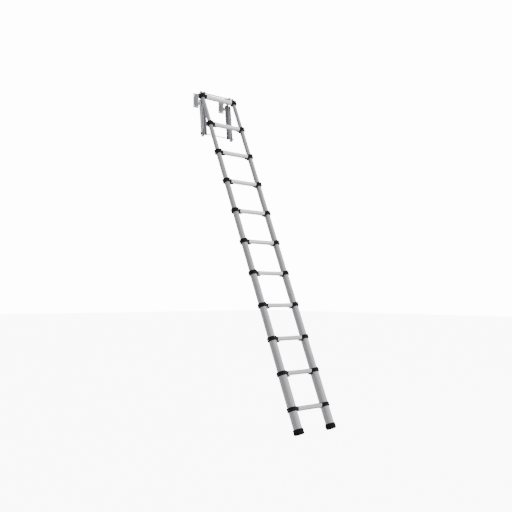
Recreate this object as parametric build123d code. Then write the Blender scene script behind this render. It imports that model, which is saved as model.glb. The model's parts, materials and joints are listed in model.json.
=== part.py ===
"""Telescoping loft ladder: ten nested tube sections, eleven level rungs, a hinge and a swing cradle.

Millimetres, +Z up. The rungs run along X and the top of the ladder leans towards +Y. The origin is on
the floor, under the middle of the whole ladder. The ladder is drawn extended, in its working lean.
"Ladder frame" below means: origin at the middle of the lowest rung, +Z up along the stiles.
"""
import math
import os

from build123d import *

os.makedirs("parts", exist_ok=True)

# ---- driving dimensions -------------------------------------------------------------------------
LEAN = 22.67                 # stiles from the vertical, degrees
PITCH = 280.0                # rung to rung along the stiles
RUNG_COUNT = 11
SECTION_COUNT = 10           # section 1 carries rungs 1 and 2, every other section carries one rung
STILE_X = 183.5              # half the distance between the stile axes

TUBE_R = [35.0] + [31.4 - 1.75 * n for n in range(SECTION_COUNT - 1)]   # outer radii, section 1 first
SLIDE_GAP = 0.3              # radial running gap between one tube and the next
TOP_TUBE_WALL = 1.45
OVERLAP = 90.0               # how much of a tube stays inside the next one when extended

COLLAR_HALF = 16.0           # half height of a collar
COLLAR_LIP = 4.0             # the lip that covers the end of the tube
COLLAR_WALL = 7.0            # wall of the lowest collar
COLLAR_WALL_STEP = 0.65      # each collar up has a wall this much thicker
COLLAR_EDGE = 2.0

RUNG_DEPTH = 40.0
RUNG_HEIGHT = 32.0
RUNG_FOOT = 28.0             # width of the flat underside
RUNG_BEND = 4.0              # the side walls turn inwards this far below the middle
RUNG_WALL = 2.0
RUNG_ROUND = 2.5
TREAD_GROOVES = 7
GROOVE_PITCH = 5.4
GROOVE_WIDTH = 2.2
GROOVE_DEPTH = 0.9

SLEEVE_LENGTH = 48.0         # bright sleeve on each rung end, from the collar's side
SLEEVE_WALL = 1.0
SHOULDER = 8.0               # collar moulding of the rung's own outline, from the collar's side
SHOULDER_GAP = 0.2           # between the shoulder and the rung's end
SHOULDER_REACH = 0.5         # how far into the collar the shoulder runs, as a share of its radius
SPIGOT_LENGTH = 18.0         # shoulder and spigot together, from the collar's side
SPIGOT_GAP = 0.25
SPIGOT_ROOT = 1.0            # how far the shoulder is sunk into the collar wall
OVERCUT = 1.0                # how far cuts and hidden joins run past a face

BOLT_R = 4.0                 # latch bolt
BOLT_GAP = 0.3
BOLT_TIP_GAP = 0.5           # drawn just clear of the sliding tube
LATCH_TRAVEL = 8.0
LATCH_GAP = 1.0              # slider to spigot, and neck to each end of its slot
SLIDER = (10.0, 18.0, 16.0)  # slider inside the rung: along X, along Y, height
SLIDER_Y = -3.0              # its middle, from the rung's middle
SLIDER_FLOOR = -11.0         # its underside, from the rung's middle
NECK = (8.0, 7.4)            # neck through the slot: along X, along Y
NECK_Y = -6.5                # its middle, from the rung's middle
NECK_GAP = 0.3               # each side of the neck
LATCH_TAB = (28.0, 20.0, 9.0)       # thumb tab under the rung: along X, along Y, height
TAB_START = 1.0              # tab end, from the collar's side
TAB_GAP = 0.4                # between the tab and the rung above it
TAB_ROUND = 3.0

FOOT_R = 41.5
FOOT_TOP = -150.0            # in the ladder frame
FOOT_BOTTOM = -193.0
FOOT_SOLE = 10.0
FOOT_ROUND = 10.0
FOOT_RIM = 1.5               # chamfer round the mouth
SOLE_GROOVE = (3.0, 2.5)     # width and depth
SOLE_GROOVES = 5
SOLE_GROOVE_PITCH = 10.0

HINGE_RISE = 39.0            # hinge axis above rung 11, along the stiles
HINGE_R = 6.0
HINGE_HALF = 196.0
PIN_GAP = 0.05               # radial clearance of the hinge and arm bores
LUG_THICK = 8.0
LUG_R = 13.0
LUG_BASE = 5.0
LUG_BASE_R = 22.0
LUG_PLUG = 40.0
LUG_PLUG_GAP = 0.2
CLIP = (191.0, 3.0, 10.0)    # retaining clip: distance from the middle, thickness, radius

ARM_PIVOT = (26.0, -66.0)    # arm pivot from the hinge axis: Y, Z
ARM_TILT = 6.2               # the arms hang this far forward of the vertical, degrees
ARM_DROP = 295.0             # pivot to cross rod
ARM_TAIL = 29.0              # cross rod to the end of the bar
BAR_X = 167.0
BAR = (22.0, 22.0, 2.5)      # pressed channel: width, depth, wall
LINK_X = 133.0
LINK = (18.0, 22.0, 2.0)     # inner link, square tube: width, depth, wall
ROD_R = 4.5
ROD_HALF = 200.0
NUT = (7.5, 8.0)             # thickness, half width across flats
ARM_PIN_R = 5.0
PIN_HEAD = (9.0, 3.0)        # radius, thickness
SPACER_R = 8.0
SIDE_GAP = 0.3               # beside each arm on its pin

EAR_X = 148.0
EAR_THICK = 5.0
EAR_R = 16.0
EAR_RELIEF = 12.0            # the ear's front edge, behind rung 11, from the hinge axis
EAR_MARGIN = 8.0             # the ear ends this far from the plate's ends
WINDOW = (62.0, 22.0)        # lightening hole: distance behind the hinge axis, radius
PLATE_Y = 116.0              # outer face of the base plate from the hinge axis
PLATE = (60.0, 5.0, 130.0)   # base plate: X, thickness, height
PLATE_Z = -45.0              # middle of the plate from the hinge axis
PLATE_ROUND = 6.0
HOLE_R = 3.5
HOLE_SPACING = (40.0, 90.0)  # X and Z

# ---- values worked out from them ----------------------------------------------------------------
SIN = math.sin(math.radians(LEAN))
COS = math.cos(math.radians(LEAN))
HINGE_W = (RUNG_COUNT - 1) * PITCH + HINGE_RISE
FOOT_LOW = (FOOT_R - FOOT_ROUND) * SIN - (FOOT_BOTTOM + FOOT_ROUND) * COS + FOOT_ROUND
FOOT_FRONT = (FOOT_R - FOOT_ROUND) * COS - (FOOT_BOTTOM + FOOT_ROUND) * SIN + FOOT_ROUND
RUNG1_Z = FOOT_LOW                                        # lowest rung above the floor
RUNG1_Y = -(HINGE_W * SIN + PLATE_Y - FOOT_FRONT) / 2     # centres the whole ladder on Y = 0
HINGE_Y = RUNG1_Y + HINGE_W * SIN
HINGE_Z = RUNG1_Z + HINGE_W * COS
TO_PART = Pos(0, RUNG1_Y, RUNG1_Z) * Rot(-LEAN, 0, 0)     # ladder frame to part frame


def rung_w(rung):
    """Height of a rung in the ladder frame."""
    return (rung - 1) * PITCH


def rung_place(rung):
    """Middle of a rung in the part frame."""
    return Pos(0, RUNG1_Y + rung_w(rung) * SIN, RUNG1_Z + rung_w(rung) * COS)


def carrier(rung):
    """The section whose tubes carry this rung."""
    return max(rung - 1, 1)


def tube_r(section):
    return TUBE_R[section - 1]


def bore_r(section):
    """Inner radius of a section: it takes the next tube with the running gap."""
    if section == SECTION_COUNT:
        return tube_r(section) - TOP_TUBE_WALL
    return tube_r(section + 1) + SLIDE_GAP


def collar_r(rung):
    return tube_r(carrier(rung)) + COLLAR_WALL + COLLAR_WALL_STEP * (carrier(rung) - 1)


def rod(radius, low, high, x=0.0, y=0.0):
    """Cylinder along Z."""
    return Pos(x, y, (low + high) / 2) * Cylinder(radius, high - low)


def cross_bar(radius, low, high, y=0.0, z=0.0):
    """Cylinder along X."""
    return Pos((low + high) / 2, y, z) * Rot(0, 90, 0) * Cylinder(radius, high - low)


def block(low, high):
    """Box between two corners."""
    size = [b - a for a, b in zip(low, high)]
    middle = [(a + b) / 2 for a, b in zip(low, high)]
    return Pos(*middle) * Box(*size)


def pair(shape):
    """A right-hand piece and its mirror image."""
    return [shape, mirror(shape, Plane.YZ)]


def save(name, shapes):
    solids = []
    for shape in shapes:
        solids += shape.solids()
    export_step(Compound(solids), f"parts/{name}.step")


# ---- rung profile, in the part's YZ plane -------------------------------------------------------
def rung_outline():
    half, top, foot = RUNG_DEPTH / 2, RUNG_HEIGHT / 2, RUNG_FOOT / 2
    points = [(-half, top), (-half, -RUNG_BEND), (-foot, -top), (foot, -top), (half, -RUNG_BEND), (half, top)]
    face = make_face(Polyline(*points, close=True))
    return fillet(face.vertices(), RUNG_ROUND)


def extrude_x(face, low, high):
    """Sweeps a face of the YZ plane along X."""
    return Pos(low, 0, 0) * extrude(Plane.YZ * face, high - low)


OUTLINE = rung_outline()
HOLLOW = offset(OUTLINE, -RUNG_WALL)
SLEEVE = offset(OUTLINE, SLEEVE_WALL)
SPIGOT = offset(OUTLINE, -RUNG_WALL - SPIGOT_GAP)


def stile_cylinder(radius):
    """Long cylinder along the right stile, placed from a rung's middle."""
    return Rot(-LEAN, 0, 0) * rod(radius, -PITCH / 2, PITCH / 2, x=STILE_X)


# ---- tubes --------------------------------------------------------------------------------------
def tube(section):
    """Right-hand tube of a section, in the ladder frame, with its latch holes."""
    top = rung_w(section + 1) + COLLAR_HALF - COLLAR_LIP
    low = top - PITCH - OVERLAP
    holes = [rung_w(section + 1), rung_w(section)]
    if section == 1:
        low = FOOT_BOTTOM + FOOT_SOLE
        holes = [rung_w(2)]
    if section == SECTION_COUNT:
        holes = [rung_w(section)]
    body = rod(tube_r(section), low, top, x=STILE_X) - rod(bore_r(section), low, top, x=STILE_X)
    for height in holes:
        body -= cross_bar(BOLT_R + BOLT_GAP, STILE_X - tube_r(section) - OVERCUT, STILE_X, z=height)
    return TO_PART * body


# ---- collars ------------------------------------------------------------------------------------
def collar(rung):
    """Right-hand moulded collar: ring, shoulder against the rung's end, and spigot inside the rung."""
    outer = collar_r(rung)
    side = STILE_X - outer
    section = carrier(rung)
    ring = fillet(rod(outer, -COLLAR_HALF, COLLAR_HALF, x=STILE_X).edges(), COLLAR_EDGE)
    ring = Rot(-LEAN, 0, 0) * ring
    shoulder = extrude_x(SLEEVE, side - SHOULDER, STILE_X - outer * SHOULDER_REACH)
    shoulder += extrude_x(SPIGOT, side - SPIGOT_LENGTH, side - SHOULDER + OVERCUT)
    body = ring + (shoulder - stile_cylinder(outer - SPIGOT_ROOT))
    if rung == 1:
        body -= stile_cylinder(tube_r(1))
        return rung_place(rung) * body
    bore = rod(tube_r(section), -PITCH / 2, COLLAR_HALF - COLLAR_LIP, x=STILE_X)
    body -= Rot(-LEAN, 0, 0) * bore
    body -= stile_cylinder(bore_r(section))
    if rung < RUNG_COUNT:
        body -= cross_bar(BOLT_R + BOLT_GAP, side - SPIGOT_LENGTH - OVERCUT, STILE_X)
    return rung_place(rung) * body


# ---- rungs --------------------------------------------------------------------------------------
def rung_bar(rung):
    """Grooved hollow rung and its two end sleeves."""
    side = STILE_X - collar_r(rung)
    reach = side - SHOULDER - SHOULDER_GAP
    section = OUTLINE - HOLLOW
    for n in range(TREAD_GROOVES):
        groove_y = (n - (TREAD_GROOVES - 1) / 2) * GROOVE_PITCH
        section -= Pos(groove_y, RUNG_HEIGHT / 2) * Rectangle(GROOVE_WIDTH, 2 * GROOVE_DEPTH)
    pieces = [extrude_x(section, -reach, reach)]
    pieces += pair(extrude_x(SLEEVE - OUTLINE, side - SLEEVE_LENGTH, reach))
    if 1 < rung < RUNG_COUNT:
        for slot in pair(latch_slot(rung)):
            pieces = [piece - slot for piece in pieces]
    return [rung_place(rung) * piece for piece in pieces]


# ---- release latches ----------------------------------------------------------------------------
def slider_end(rung):
    """Outer end of the right-hand slider."""
    return STILE_X - collar_r(rung) - SPIGOT_LENGTH - LATCH_GAP


def latch_slot(rung):
    """Slot through the rung's underside for the neck of the right-hand latch."""
    high_x = slider_end(rung)
    low_x = high_x - NECK[0] - LATCH_TRAVEL - 2 * LATCH_GAP
    half = NECK[1] / 2 + NECK_GAP
    low_z = -RUNG_HEIGHT / 2 - SLEEVE_WALL - OVERCUT
    high_z = -RUNG_HEIGHT / 2 + RUNG_WALL + OVERCUT
    return block((low_x, NECK_Y - half, low_z), (high_x, NECK_Y + half, high_z))


def latch(rung):
    """Right-hand latch: bolt, slider, neck and thumb tab, in one moulding."""
    end = slider_end(rung)
    neck_end = end - LATCH_GAP
    tab_end = STILE_X - collar_r(rung) - TAB_START
    tab_top = -RUNG_HEIGHT / 2 - SLEEVE_WALL - TAB_GAP
    slider = block(
        (end - SLIDER[0], SLIDER_Y - SLIDER[1] / 2, SLIDER_FLOOR),
        (end, SLIDER_Y + SLIDER[1] / 2, SLIDER_FLOOR + SLIDER[2]),
    )
    neck = block(
        (neck_end - NECK[0], NECK_Y - NECK[1] / 2, tab_top - OVERCUT),
        (neck_end, NECK_Y + NECK[1] / 2, SLIDER_FLOOR + OVERCUT),
    )
    tab = block((tab_end - LATCH_TAB[0], -LATCH_TAB[1], tab_top - LATCH_TAB[2]), (tab_end, 0, tab_top))
    tab = fillet(tab.edges().group_by(Axis.Z)[0] + tab.edges().filter_by(Axis.Z), TAB_ROUND)
    bolt = cross_bar(BOLT_R, end - OVERCUT, STILE_X - tube_r(rung) - BOLT_TIP_GAP)
    return rung_place(rung) * (slider + neck + tab + bolt)


# ---- feet ---------------------------------------------------------------------------------------
def foot():
    """Right-hand rubber foot, in the ladder frame."""
    cup = rod(FOOT_R, FOOT_BOTTOM, FOOT_TOP, x=STILE_X)
    cup = fillet(cup.edges().sort_by(Axis.Z)[0], FOOT_ROUND)
    cup = chamfer(cup.edges().sort_by(Axis.Z)[-1], FOOT_RIM)
    cup -= rod(tube_r(1), FOOT_BOTTOM + FOOT_SOLE, FOOT_TOP + OVERCUT, x=STILE_X)
    width, depth = SOLE_GROOVE
    for n in range(SOLE_GROOVES):
        y = (n - (SOLE_GROOVES - 1) / 2) * SOLE_GROOVE_PITCH
        cup -= Pos(STILE_X, y, FOOT_BOTTOM) * Box(3 * FOOT_R, width, 2 * depth)
    return TO_PART * cup


# ---- hinge at the top ---------------------------------------------------------------------------
def hanger_lug():
    """Steel eye on the top collar, with a plug down inside the top tube; ladder frame."""
    low = rung_w(RUNG_COUNT) + COLLAR_HALF
    plug_r = bore_r(SECTION_COUNT) - LUG_PLUG_GAP
    lug = rod(LUG_BASE_R, low, low + LUG_BASE, x=STILE_X)
    lug += rod(plug_r, low - LUG_PLUG, low + OVERCUT, x=STILE_X)
    half = LUG_THICK / 2
    lug += block((STILE_X - half, -LUG_R, low + LUG_BASE - OVERCUT), (STILE_X + half, LUG_R, HINGE_W))
    lug += cross_bar(LUG_R, STILE_X - half, STILE_X + half, z=HINGE_W)
    lug -= cross_bar(HINGE_R + PIN_GAP, STILE_X - LUG_THICK, STILE_X + LUG_THICK, z=HINGE_W)
    return TO_PART * lug


def at_hinge(shape):
    return Pos(0, HINGE_Y, HINGE_Z) * shape


def hatch_bracket():
    """Right-hand steel bracket: base plate with four screw holes and an ear for both pivots."""
    left, right = EAR_X - EAR_THICK / 2, EAR_X + EAR_THICK / 2
    width, thick, height = PLATE
    inner = PLATE_Y - thick
    plate = block(
        (EAR_X - width / 2, inner, PLATE_Z - height / 2),
        (EAR_X + width / 2, PLATE_Y, PLATE_Z + height / 2),
    )
    plate = fillet(plate.edges().filter_by(Axis.Y), PLATE_ROUND)
    pivot_y, pivot_z = ARM_PIVOT
    root = inner + OVERCUT
    reach = height / 2 - EAR_MARGIN
    outline = make_face(Polyline(
        (0, EAR_R), (root, PLATE_Z + reach), (root, PLATE_Z - reach), (pivot_y, pivot_z - EAR_R),
        (EAR_RELIEF, pivot_z), (EAR_RELIEF, 0), (0, 0), close=True,
    ))
    ear = extrude_x(outline, left, right)
    ear += cross_bar(EAR_R, left, right)
    ear += cross_bar(EAR_R, left, right, y=pivot_y, z=pivot_z)
    ear -= cross_bar(WINDOW[1], left - OVERCUT, right + OVERCUT, y=WINDOW[0], z=PLATE_Z)
    bracket = plate + ear
    bracket -= cross_bar(HINGE_R, left - OVERCUT, right + OVERCUT)
    bracket -= cross_bar(ARM_PIN_R, left - OVERCUT, right + OVERCUT, y=pivot_y, z=pivot_z)
    for x in (-HOLE_SPACING[0] / 2, HOLE_SPACING[0] / 2):
        for z in (-HOLE_SPACING[1] / 2, HOLE_SPACING[1] / 2):
            hole = Pos(EAR_X + x, inner, PLATE_Z + z) * Rot(90, 0, 0) * Cylinder(HOLE_R, 4 * thick)
            bracket -= hole
    return at_hinge(bracket)


def hinge_clip():
    start, thick, radius = CLIP
    ring = cross_bar(radius, start, start + thick) - cross_bar(HINGE_R, start, start + thick)
    return at_hinge(ring)


# ---- swing cradle -------------------------------------------------------------------------------
def arm_place(shape):
    """Places a shape drawn about the arm pivot with the arms straight down."""
    return at_hinge(Pos(0, *ARM_PIVOT) * Rot(-ARM_TILT, 0, 0) * shape)


def arm_holes(x, width):
    """Bores for the pivot pin and the cross rod."""
    low, high = x - width, x + width
    return [
        cross_bar(ARM_PIN_R + PIN_GAP, low, high),
        cross_bar(ROD_R, low, high, z=-ARM_DROP),
    ]


def arm_bar():
    """Right-hand pressed channel, open at the front, with round ends."""
    width, depth, wall = BAR
    length = ARM_DROP + ARM_TAIL + width / 2
    middle = Pos(BAR_X, 0, width / 2 - length / 2) * Rot(90, 0, 0)
    outer = extrude(SlotOverall(length, width, rotation=90), depth / 2, both=True)
    inner = extrude(SlotOverall(length - 2 * wall, width - 2 * wall, rotation=90), depth / 2, both=True)
    bar = middle * outer - Pos(0, -wall, 0) * (middle * inner)
    for hole in arm_holes(BAR_X, width):
        bar -= hole
    return arm_place(bar)


def arm_link():
    """Right-hand inner link, a flat tube with round ends."""
    width, depth, wall = LINK
    length = ARM_DROP + depth
    middle = Pos(LINK_X, 0, -ARM_DROP / 2) * Rot(0, 90, 0)
    outer = extrude(SlotOverall(length, depth), width / 2, both=True)
    inner = extrude(SlotOverall(length - 2 * wall, depth - 2 * wall), width / 2 - wall, both=True)
    link = middle * (outer - inner)
    for hole in arm_holes(LINK_X, width):
        link -= hole
    return arm_place(link)


def arm_pin():
    """Right-hand arm pivot pin with its two heads, and the two spacer rings on it."""
    head_r, head = PIN_HEAD
    low = LINK_X - LINK[0] / 2 - SIDE_GAP
    high = BAR_X + BAR[0] / 2 + SIDE_GAP
    pin = cross_bar(ARM_PIN_R, low - head, high + head)
    pin += cross_bar(head_r, low - head, low)
    pin += cross_bar(head_r, high, high + head)
    ear_low, ear_high = EAR_X - EAR_THICK / 2, EAR_X + EAR_THICK / 2
    spans = [(LINK_X + LINK[0] / 2 + SIDE_GAP, ear_low), (ear_high, BAR_X - BAR[0] / 2 - SIDE_GAP)]
    pieces = [pin]
    for start, end in spans:
        pieces.append(cross_bar(SPACER_R, start, end) - cross_bar(ARM_PIN_R, start, end))
    return [arm_place(piece) for piece in pieces]


def rod_nut():
    thick, half = NUT
    start = BAR_X + BAR[0] / 2
    hexagon = extrude_x(RegularPolygon(half, 6, major_radius=False), start, start + thick)
    nut = hexagon - cross_bar(ROD_R, start, start + thick)
    return arm_place(Pos(0, 0, -ARM_DROP) * nut)


# ---- write every node ---------------------------------------------------------------------------
for number in range(1, SECTION_COUNT + 1):
    save(f"tubes_{number}", pair(tube(number)))

for number in range(1, RUNG_COUNT + 1):
    save(f"rung_{number}", rung_bar(number))
    save(f"collars_{number}", pair(collar(number)))

for number in range(2, RUNG_COUNT):
    right, left = pair(latch(number))
    save(f"latch_{number}_right", [right])
    save(f"latch_{number}_left", [left])

save("feet", pair(foot()))
save("hanger_lugs", pair(hanger_lug()))
save("hatch_brackets", pair(hatch_bracket()))
save("hinge_shaft", [at_hinge(cross_bar(HINGE_R, -HINGE_HALF, HINGE_HALF))])
save("hinge_clips", pair(hinge_clip()))
save("arm_bars", pair(arm_bar()))
save("arm_links", pair(arm_link()))
save("arm_pins", [piece for right_piece in arm_pin() for piece in pair(right_piece)])
save("cross_rod", [arm_place(cross_bar(ROD_R, -ROD_HALF, ROD_HALF, z=-ARM_DROP))])
save("rod_nuts", pair(rod_nut()))
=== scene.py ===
"""Looks of the telescoping loft ladder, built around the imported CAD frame. Metres, +Z up."""
import json
import math

import bmesh
import bpy
from mathutils import Matrix, Vector


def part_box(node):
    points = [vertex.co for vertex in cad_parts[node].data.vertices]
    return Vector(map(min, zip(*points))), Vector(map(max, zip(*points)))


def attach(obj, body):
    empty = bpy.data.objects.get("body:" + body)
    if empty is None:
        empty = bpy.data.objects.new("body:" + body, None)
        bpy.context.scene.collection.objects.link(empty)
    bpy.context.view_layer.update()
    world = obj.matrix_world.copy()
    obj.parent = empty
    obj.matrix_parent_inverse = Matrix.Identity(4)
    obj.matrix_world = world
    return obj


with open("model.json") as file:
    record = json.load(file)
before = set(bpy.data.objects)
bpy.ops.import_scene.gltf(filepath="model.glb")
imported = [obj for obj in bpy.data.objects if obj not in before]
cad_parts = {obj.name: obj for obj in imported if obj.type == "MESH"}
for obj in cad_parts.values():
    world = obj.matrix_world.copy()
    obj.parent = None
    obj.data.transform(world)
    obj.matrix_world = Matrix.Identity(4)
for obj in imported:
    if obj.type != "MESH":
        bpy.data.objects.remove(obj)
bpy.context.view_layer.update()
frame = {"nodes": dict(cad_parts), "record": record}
NODES = frame["nodes"]
BODIES = frame["record"]["behaviour"]["bodies"]
BODY_OF = {node: body for body, nodes in BODIES.items() for node in nodes}

# ---- places, from the frame ---------------------------------------------------------------------
RUNGS = 11
STILE_X = 0.1835             # a stile's axis, from the middle of the ladder


def middle(node):
    low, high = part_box(node)
    return (low + high) / 2


RUNG_AT = {n: middle(f"rung_{n}") for n in range(1, RUNGS + 1)}
UP = (RUNG_AT[RUNGS] - RUNG_AT[1]).normalized()          # along the stiles
LEAN = math.atan2(UP.y, UP.z)
STILE = Matrix.Rotation(-LEAN, 4, "X")                   # ladder frame to part frame


def collar_r(rung):
    """Outer radius of a rung's collars."""
    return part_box(f"collars_{rung}")[1].x - STILE_X


# ---- camera, light and floor --------------------------------------------------------------------
CAMERA_AT = RUNG_AT[1] + Vector((-4.3131, -3.8442, 0.8682))
CAMERA_YAW = math.radians(44.23)
CAMERA_PITCH = math.radians(2.89)
CAMERA_ROLL = math.radians(0.29)
CAMERA_LENS = 52.35          # millimetres, on a sensor 36 mm wide
CAMERA_SENSOR = 36.0
CAMERA_REACH = 60.0
WORLD_LIGHT = 1.2            # what the object sees
BACKDROP = 14.0              # what the camera sees behind it
WHITE = (1.0, 1.0, 1.0, 1)
# The world's light by direction, where 0 is away from BRIGHT_SIDE and 1 is towards it. It is DIM's
# colour up to DIM's place, and BRIGHT's colour from BRIGHT's place on.
BRIGHT_SIDE = (0.72, -0.69, 0.10)
DIM = 0.44, (0.50, 0.50, 0.52, 1)
BRIGHT = 0.54, WHITE
KEY_AT = (3.4, -3.8, 3.2)
KEY_TARGET = (0.0, 0.0, 1.4)
KEY_SIZE = (4.5, 5.0)
KEY_POWER = 70
FLOOR_SIZE = 60
FLOOR_GLOW = 9.0             # added to the floor for the camera only


def add_camera():
    data = bpy.data.cameras.new("camera")
    data.lens = CAMERA_LENS
    data.sensor_width = CAMERA_SENSOR
    data.clip_end = CAMERA_REACH
    camera = bpy.data.objects.new("camera", data)
    bpy.context.scene.collection.objects.link(camera)
    turn = Matrix.Rotation(-CAMERA_YAW, 4, "Z")
    tilt = Matrix.Rotation(math.pi / 2 + CAMERA_PITCH, 4, "X")
    roll = Matrix.Rotation(CAMERA_ROLL, 4, "Z")
    camera.matrix_world = Matrix.Translation(CAMERA_AT) @ turn @ tilt @ roll
    bpy.context.scene.camera = camera


def add_key_light():
    data = bpy.data.lights.new("key", "AREA")
    data.shape = "RECTANGLE"
    data.size, data.size_y = KEY_SIZE
    data.energy = KEY_POWER
    light = bpy.data.objects.new("key", data)
    light.location = KEY_AT
    light.rotation_euler = (Vector(KEY_TARGET) - Vector(KEY_AT)).to_track_quat("-Z", "Y").to_euler()
    bpy.context.scene.collection.objects.link(light)


def add_world():
    """White to the camera. To the object, brighter on the right of the first view than the left."""
    world = bpy.data.worlds.new("studio")
    bpy.context.scene.world = world
    world.use_nodes = True
    tree = world.node_tree
    tree.nodes.clear()
    coords = tree.nodes.new("ShaderNodeTexCoord")
    side = tree.nodes.new("ShaderNodeVectorMath")
    side.operation = "DOT_PRODUCT"
    side.inputs[1].default_value = BRIGHT_SIDE
    tree.links.new(coords.outputs["Generated"], side.inputs[0])
    shift = tree.nodes.new("ShaderNodeMapRange")
    shift.inputs["From Min"].default_value = -1.0
    tree.links.new(side.outputs["Value"], shift.inputs["Value"])
    ramp = tree.nodes.new("ShaderNodeValToRGB")
    dim, bright = ramp.color_ramp.elements
    dim.position, dim.color = DIM
    bright.position, bright.color = BRIGHT
    tree.links.new(shift.outputs["Result"], ramp.inputs["Fac"])
    light = tree.nodes.new("ShaderNodeBackground")
    light.inputs["Strength"].default_value = WORLD_LIGHT
    tree.links.new(ramp.outputs["Color"], light.inputs["Color"])
    backdrop = tree.nodes.new("ShaderNodeBackground")
    backdrop.inputs["Color"].default_value = WHITE
    backdrop.inputs["Strength"].default_value = BACKDROP
    ray = tree.nodes.new("ShaderNodeLightPath")
    choose = tree.nodes.new("ShaderNodeMixShader")
    tree.links.new(ray.outputs["Is Camera Ray"], choose.inputs["Fac"])
    tree.links.new(light.outputs["Background"], choose.inputs[1])
    tree.links.new(backdrop.outputs["Background"], choose.inputs[2])
    out = tree.nodes.new("ShaderNodeOutputWorld")
    tree.links.new(choose.outputs["Shader"], out.inputs["Surface"])


def add_floor(material):
    bpy.ops.mesh.primitive_plane_add(size=FLOOR_SIZE, location=(0, 0, 0))
    floor = bpy.context.object
    floor.name = "floor"
    floor.data.materials.append(material)


# ---- materials ----------------------------------------------------------------------------------
NOISE_BAND = (0.3, 0.7)      # most of a noise's values lie in this band
ALUMINIUM_METALLIC = 0.9
ZINC_METALLIC = 0.95
PLASTIC_SPECULAR = 0.18
FLOOR_ROUGHNESS = 0.9
TUBE_LINE_DEPTH = 0.00006
RUNG_LINE_DEPTH = 0.00005
PLATE_LINE_DEPTH = 0.00008


class Nodes:
    """A node tree written as short calls."""

    def __init__(self, name):
        self.material = bpy.data.materials.new(name)
        self.material.use_nodes = True
        self.tree = self.material.node_tree
        self.shader = self.tree.nodes["Principled BSDF"]

    def add(self, kind):
        return self.tree.nodes.new(kind)

    def link(self, source, target):
        self.tree.links.new(source, target)

    def stile_coords(self, scale):
        """Object coordinates turned so that Z runs along the stiles, then scaled."""
        coords = self.add("ShaderNodeTexCoord")
        turn = self.add("ShaderNodeMapping")
        turn.inputs["Rotation"].default_value = (LEAN, 0, 0)
        size = self.add("ShaderNodeMapping")
        size.inputs["Scale"].default_value = scale
        self.link(coords.outputs["Object"], turn.inputs["Vector"])
        self.link(turn.outputs["Vector"], size.inputs["Vector"])
        return size.outputs["Vector"]

    def object_coords(self, scale):
        """Object coordinates, scaled."""
        coords = self.add("ShaderNodeTexCoord")
        size = self.add("ShaderNodeMapping")
        size.inputs["Scale"].default_value = scale
        self.link(coords.outputs["Object"], size.inputs["Vector"])
        return size.outputs["Vector"]

    def noise(self, vector, detail, rough=0.55):
        noise = self.add("ShaderNodeTexNoise")
        noise.inputs["Scale"].default_value = 1.0
        noise.inputs["Detail"].default_value = detail
        noise.inputs["Roughness"].default_value = rough
        self.link(vector, noise.inputs["Vector"])
        return noise.outputs["Fac"]

    def spread(self, value, low, high, start=0.0, end=1.0):
        """Maps value from start..end to low..high, clamped."""
        node = self.add("ShaderNodeMapRange")
        node.inputs["From Min"].default_value = start
        node.inputs["From Max"].default_value = end
        node.inputs["To Min"].default_value = low
        node.inputs["To Max"].default_value = high
        self.link(value, node.inputs["Value"])
        return node.outputs["Result"]

    def calc(self, a, b, operation="ADD"):
        """Two values combined. The second may be a plain number."""
        node = self.add("ShaderNodeMath")
        node.operation = operation
        self.link(a, node.inputs[0])
        if isinstance(b, float):
            node.inputs[1].default_value = b
        else:
            self.link(b, node.inputs[1])
        return node.outputs["Value"]

    def blend(self, factor, dark, light):
        """A colour between two, by a factor."""
        ramp = self.add("ShaderNodeValToRGB")
        ramp.color_ramp.elements[0].color = (*dark, 1)
        ramp.color_ramp.elements[1].color = (*light, 1)
        self.link(factor, ramp.inputs["Fac"])
        return ramp.outputs["Color"]

    def bump(self, height, distance):
        node = self.add("ShaderNodeBump")
        node.inputs["Strength"].default_value = 1.0
        node.inputs["Distance"].default_value = distance
        self.link(height, node.inputs["Height"])
        self.link(node.outputs["Normal"], self.shader.inputs["Normal"])


def drawn_aluminium():
    """Anodised drawn tube: fine lines along the stile, soft blotches and rub marks from sliding."""
    m = Nodes("tube_aluminium")
    lines = m.noise(m.stile_coords((900, 900, 5)), detail=3)
    blotch = m.noise(m.stile_coords((14, 14, 5)), detail=5)
    rubs = m.noise(m.stile_coords((260, 260, 1.6)), detail=6, rough=0.7)
    marks = m.spread(rubs, 0.0, 1.0, 0.60, 0.72)
    tone = m.calc(m.spread(lines, 0.0, 0.55, *NOISE_BAND), m.spread(blotch, 0.0, 0.45, *NOISE_BAND))
    tone = m.calc(tone, m.calc(marks, 0.25, "MULTIPLY"), "SUBTRACT")
    m.link(m.blend(tone, (0.40, 0.405, 0.42), (0.52, 0.525, 0.54)), m.shader.inputs["Base Color"])
    rough = m.calc(m.spread(lines, 0.30, 0.42), m.calc(marks, 0.10, "MULTIPLY"))
    m.link(rough, m.shader.inputs["Roughness"])
    m.bump(lines, TUBE_LINE_DEPTH)
    m.shader.inputs["Metallic"].default_value = ALUMINIUM_METALLIC
    return m.material


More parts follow.
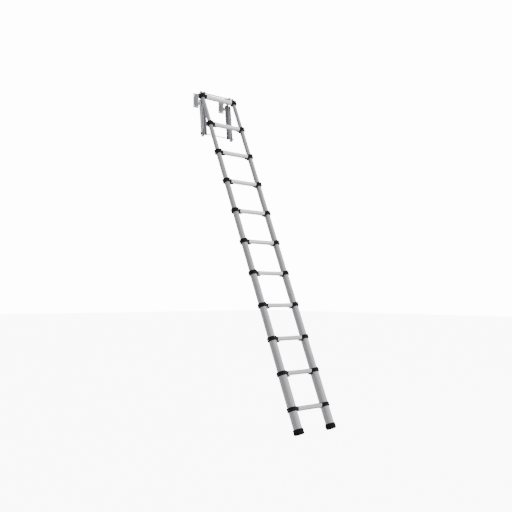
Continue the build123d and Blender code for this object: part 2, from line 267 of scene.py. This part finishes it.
def bright_aluminium():
    """Anodised rung: lines along the rung and small scuffs on the tread."""
    m = Nodes("rung_aluminium")
    lines = m.noise(m.object_coords((5, 1000, 1000)), detail=3)
    scuffs = m.noise(m.object_coords((90, 420, 420)), detail=6, rough=0.7)
    marks = m.spread(scuffs, 0.0, 1.0, 0.58, 0.70)
    tone = m.calc(m.spread(lines, 0.2, 1.0, *NOISE_BAND), m.calc(marks, 0.35, "MULTIPLY"), "SUBTRACT")
    m.link(m.blend(tone, (0.65, 0.655, 0.665), (0.85, 0.85, 0.86)), m.shader.inputs["Base Color"])
    rough = m.calc(m.spread(lines, 0.26, 0.38), m.calc(marks, 0.15, "MULTIPLY"))
    m.link(rough, m.shader.inputs["Roughness"])
    m.bump(lines, RUNG_LINE_DEPTH)
    m.shader.inputs["Metallic"].default_value = ALUMINIUM_METALLIC
    return m.material


def moulded_plastic(name, dark, light, rough, grain, depth):
    """Black moulding: fine grain of the given scale and depth, faint handling marks."""
    m = Nodes(name)
    texture = m.noise(m.object_coords((grain, grain, grain)), detail=6, rough=0.65)
    handling = m.noise(m.object_coords((38, 38, 38)), detail=5)
    colour = m.blend(m.spread(handling, 0.0, 1.0, 0.35, 0.7), dark, light)
    m.link(colour, m.shader.inputs["Base Color"])
    varied = m.calc(m.spread(handling, *rough, *NOISE_BAND), m.spread(texture, -0.05, 0.05))
    m.link(varied, m.shader.inputs["Roughness"])
    m.bump(texture, depth)
    m.shader.inputs["Specular IOR Level"].default_value = PLASTIC_SPECULAR
    return m.material


def plated_steel(name, dark, light, rough):
    """Zinc plated pressing: crystalline spangle, rolling lines and dull patches."""
    m = Nodes(name)
    cells = m.add("ShaderNodeTexVoronoi")
    cells.inputs["Scale"].default_value = 1.0
    m.link(m.object_coords((120, 120, 120)), cells.inputs["Vector"])
    grey = m.add("ShaderNodeRGBToBW")
    m.link(cells.outputs["Color"], grey.inputs["Color"])
    lines = m.noise(m.object_coords((700, 700, 12)), detail=3)
    dull = m.noise(m.object_coords((26, 26, 26)), detail=5)
    tone = m.calc(m.spread(grey.outputs["Val"], 0.3, 0.5), m.spread(dull, 0.0, 0.4, *NOISE_BAND))
    m.link(m.blend(tone, dark, light), m.shader.inputs["Base Color"])
    m.link(m.spread(dull, *rough, *NOISE_BAND), m.shader.inputs["Roughness"])
    m.bump(lines, PLATE_LINE_DEPTH)
    m.shader.inputs["Metallic"].default_value = ZINC_METALLIC
    return m.material


def floor_paint():
    """Matt near-white paint that glows for the camera only."""
    m = Nodes("floor_paint")
    grain = m.noise(m.object_coords((3, 3, 3)), detail=6)
    m.link(m.blend(grain, (0.86, 0.86, 0.855), (0.90, 0.90, 0.895)), m.shader.inputs["Base Color"])
    m.shader.inputs["Roughness"].default_value = FLOOR_ROUGHNESS
    m.shader.inputs["Emission Color"].default_value = WHITE
    ray = m.add("ShaderNodeLightPath")
    glow = m.calc(ray.outputs["Is Camera Ray"], FLOOR_GLOW, "MULTIPLY")
    m.link(glow, m.shader.inputs["Emission Strength"])
    return m.material


SLOTS = {
    "tube_aluminium": drawn_aluminium(),
    "rung_aluminium": bright_aluminium(),
    "black_plastic": moulded_plastic(
        "black_plastic", (0.004, 0.004, 0.0045), (0.009, 0.009, 0.010), (0.42, 0.58), 1500, 0.00008),
    "latch_plastic": moulded_plastic(
        "latch_plastic", (0.004, 0.004, 0.0045), (0.008, 0.008, 0.009), (0.34, 0.48), 1100, 0.00005),
    "black_rubber": moulded_plastic(
        "black_rubber", (0.005, 0.005, 0.005), (0.010, 0.010, 0.010), (0.60, 0.80), 900, 0.00015),
    "zinc_steel": plated_steel("zinc_steel", (0.50, 0.51, 0.52), (0.74, 0.75, 0.76), (0.30, 0.48)),
    "dark_steel": plated_steel("dark_steel", (0.10, 0.10, 0.115), (0.20, 0.20, 0.22), (0.34, 0.52)),
}
DULL_ZINC = plated_steel("dull_zinc", (0.14, 0.14, 0.15), (0.24, 0.24, 0.25), (0.34, 0.50))


# ---- mesh helpers -------------------------------------------------------------------------------
SHARP_ANGLE = math.radians(35)
BEVEL_STEPS = 2


def finish_piece(name, mesh, slot, body, bevel=0.0):
    """Turns a bmesh into a visible piece that rides on a body."""
    mesh.normal_update()
    data = bpy.data.meshes.new(name)
    mesh.to_mesh(data)
    mesh.free()
    piece = bpy.data.objects.new(name, data)
    bpy.context.scene.collection.objects.link(piece)
    data.materials.append(SLOTS[slot])
    if bevel:
        edge = piece.modifiers.new("edge", "BEVEL")
        edge.width = bevel
        edge.segments = BEVEL_STEPS
        edge.limit_method = "ANGLE"
    data.shade_smooth()
    data.set_sharp_from_angle(angle=SHARP_ANGLE)
    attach(piece, body)


def around(place, radius, angle, height):
    """A point at an angle about a place's Z axis."""
    return place @ Vector((radius * math.cos(angle), radius * math.sin(angle), height))


def lathe(mesh, profile, place, steps, closed=True):
    """Turns a profile of (radius, height) points about a place's Z axis."""
    rings = []
    for n in range(steps):
        angle = 2 * math.pi * n / steps
        rings.append([mesh.verts.new(around(place, r, angle, h)) for r, h in profile])
    count = len(profile)
    spans = count if closed else count - 1
    for n in range(steps):
        here, there = rings[n], rings[(n + 1) % steps]
        for i in range(spans):
            j = (i + 1) % count
            mesh.faces.new((here[i], there[i], there[j], here[j]))
    return rings


def stile_place(rung, side):
    """Ladder-frame axes on a stile, level with a rung."""
    at = RUNG_AT[rung]
    return Matrix.Translation((side * STILE_X, at.y, at.z)) @ STILE


# ---- details ------------------------------------------------------------------------------------
BAND_STEPS = 6               # flats on a band's half round
BAND_SINK = 0.0004           # its edges end this far under the surface
BAND_TURNS = 72
BEAD_AT = 0.0095             # a collar's beads, from its middle
BEAD_PROUD, BEAD_HALF = 0.0007, 0.0013

# A screw's head: radius and height of its profile and of the cross recess.
SCREW_TURNS = 24
SCREW_PROFILE = ((0.0026, 0.0016), (0.00304, 0.0014), (0.0038, 0.00081), (0.0038, -0.0006))
CROSS_ARMS = 4
CROSS_ARM = 0.0021, 0.0009
CROSS_CORNER = 0.0010, 0.001116
CROSS_MIDDLE = 0.00081

RIDGES = 5
RIDGE_PITCH = 0.0042
RIDGE_WIDTH = 0.0016
RIDGE_LENGTH = 0.0132
RIDGE_OVERLAP = 0.0001       # its middle, above the tab's lower face
RIDGE_EDGE = 0.0004
TAB_MIDDLE = 0.015           # a thumb tab's middle, from the collar's side
TAB_BACK = 0.010             # and from the rung's middle

FOOT_RIBS = 4
FOOT_RIB_TOP = -0.158        # along the stile, from rung 1
FOOT_RIB_PITCH = 0.0065
FOOT_RIB_PROUD, FOOT_RIB_HALF = 0.0007, 0.0014

WASHER_X = (0.1778, 0.1889)  # each side of a lug
WASHER_IN, WASHER_OUT, WASHER_HALF = 0.0062, 0.0105, 0.00075
WASHER_TURNS = 40
WASHER_EDGE = 0.0002


def ring_profile(radius, height, proud, half):
    """Section of a half-round raised band on a cylinder."""
    points = [(radius - BAND_SINK, height - half)]
    for n in range(BAND_STEPS + 1):
        angle = math.pi * n / BAND_STEPS
        points.append((radius + proud * math.sin(angle), height - half * math.cos(angle)))
    points.append((radius - BAND_SINK, height + half))
    return points


def collar_bands():
    """Two moulded beads round every collar."""
    for rung in range(1, RUNGS + 1):
        mesh = bmesh.new()
        radius = collar_r(rung)
        for side in (-1, 1):
            for height in (-BEAD_AT, BEAD_AT):
                profile = ring_profile(radius, height, BEAD_PROUD, BEAD_HALF)
                lathe(mesh, profile, stile_place(rung, side), BAND_TURNS)
        finish_piece(f"collar_beads_{rung}", mesh, "black_plastic", BODY_OF[f"collars_{rung}"])


def screw_mesh(mesh, place):
    """Pan head with a cross recess, standing on a place's XY plane."""
    rings = lathe(mesh, SCREW_PROFILE, place, SCREW_TURNS, closed=False)
    centre = mesh.verts.new(place @ Vector((0, 0, CROSS_MIDDLE)))
    cross = []
    for n in range(SCREW_TURNS):
        angle = 2 * math.pi * n / SCREW_TURNS
        radius, height = CROSS_CORNER if n % (SCREW_TURNS // CROSS_ARMS) else CROSS_ARM
        cross.append(mesh.verts.new(around(place, radius, angle, height)))
    for here in range(SCREW_TURNS):
        there = (here + 1) % SCREW_TURNS
        mesh.faces.new((rings[here][0], cross[here], cross[there], rings[there][0]))
        mesh.faces.new((cross[here], centre, cross[there]))


def collar_screws():
    """One screw through the outer wall of every collar."""
    for rung in range(1, RUNGS + 1):
        mesh = bmesh.new()
        for side in (-1, 1):
            wall = Matrix.Translation((side * collar_r(rung), 0, 0))
            outward = Matrix.Rotation(side * math.pi / 2, 4, "Y")
            screw_mesh(mesh, stile_place(rung, side) @ wall @ outward)
        finish_piece(f"collar_screws_{rung}", mesh, "dark_steel", BODY_OF[f"collars_{rung}"])


def tab_ridges():
    """Grip ridges under every thumb tab."""
    for rung in range(2, RUNGS):
        tab_x = STILE_X - collar_r(rung) - TAB_MIDDLE
        for side, sign in (("left", -1), ("right", 1)):
            node = f"latch_{rung}_{side}"
            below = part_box(node)[0].z + RIDGE_OVERLAP
            mesh = bmesh.new()
            for n in range(RIDGES):
                x = sign * tab_x + (n - (RIDGES - 1) / 2) * RIDGE_PITCH
                bar = bmesh.ops.create_cube(mesh, size=1.0)["verts"]
                bmesh.ops.scale(mesh, vec=(RIDGE_WIDTH, RIDGE_LENGTH, RIDGE_WIDTH), verts=bar)
                bmesh.ops.translate(mesh, vec=(x, RUNG_AT[rung].y - TAB_BACK, below), verts=bar)
            finish_piece(f"tab_ridges_{rung}_{side}", mesh, "latch_plastic", node, bevel=RIDGE_EDGE)


def foot_ribs():
    """Raised ribs round each rubber foot."""
    mesh = bmesh.new()
    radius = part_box("feet")[1].x - STILE_X
    for side in (-1, 1):
        for n in range(FOOT_RIBS):
            height = FOOT_RIB_TOP - n * FOOT_RIB_PITCH
            profile = ring_profile(radius, height, FOOT_RIB_PROUD, FOOT_RIB_HALF)
            lathe(mesh, profile, stile_place(1, side), BAND_TURNS)
    finish_piece("foot_ribs", mesh, "black_rubber", BODY_OF["feet"])


def hinge_washers():
    """Plain washers each side of the lugs."""
    mesh = bmesh.new()
    at = middle("hinge_shaft")
    profile = [
        (WASHER_IN, -WASHER_HALF), (WASHER_OUT, -WASHER_HALF),
        (WASHER_OUT, WASHER_HALF), (WASHER_IN, WASHER_HALF),
    ]
    for x in WASHER_X:
        for side in (-1, 1):
            place = Matrix.Translation((side * x, at.y, at.z)) @ Matrix.Rotation(math.pi / 2, 4, "Y")
            lathe(mesh, profile, place, WASHER_TURNS)
    finish_piece("hinge_washers", mesh, "zinc_steel", BODY_OF["hinge_shaft"], bevel=WASHER_EDGE)


# ---- put it together ----------------------------------------------------------------------------
def dress_cad_nodes():
    """Gives every CAD node the material of its slot. The cross rod's is the duller zinc."""
    slot_of = {part["node"]: part["material_slot"] for part in frame["record"]["subparts"]}
    for name, node in NODES.items():
        node.data.materials.clear()
        node.data.materials.append(DULL_ZINC if name == "cross_rod" else SLOTS[slot_of[name]])


add_camera()
add_world()
add_key_light()
add_floor(floor_paint())
dress_cad_nodes()
collar_bands()
collar_screws()
tab_ridges()
foot_ribs()
hinge_washers()
